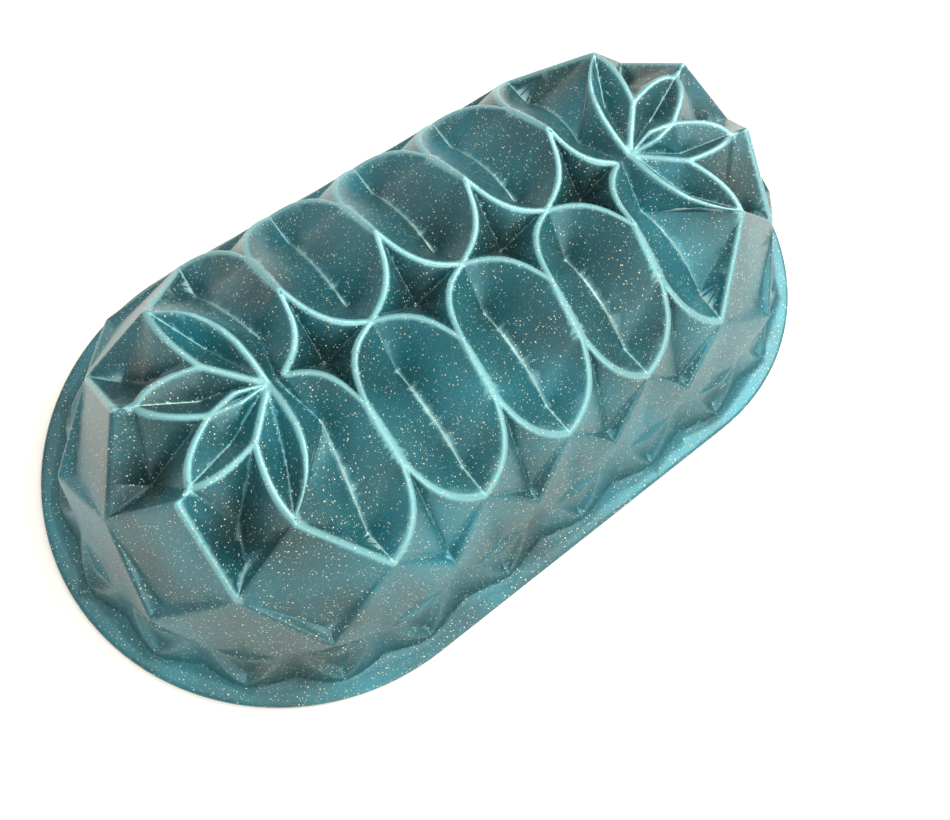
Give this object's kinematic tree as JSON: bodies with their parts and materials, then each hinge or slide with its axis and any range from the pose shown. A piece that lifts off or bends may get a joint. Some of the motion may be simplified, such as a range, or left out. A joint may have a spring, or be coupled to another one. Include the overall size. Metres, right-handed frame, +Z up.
{
  "type": "oval cake pan",
  "caption": "Oval cast cake pan, a domed shell with a relief of leaves, pointed ovals and stars over a flat rim.",
  "frame": {"origin": "on the table under the middle of the pan, which lies rim down", "axes": "+X along the pan's long side, +Y across it, +Z up from the rim to the dome"},
  "size_m": [0.31, 0.174, 0.0764],
  "materials": {
    "cast_aluminium": "satin",
    "speckled_blue_coat": "satin",
    "non_stick_coat": "satin"
  },
  "bodies": {
    "root": {"cast_body": "cast_aluminium", "outer_coating": "speckled_blue_coat", "inner_coating": "non_stick_coat"}
  },
  "joints": []
}
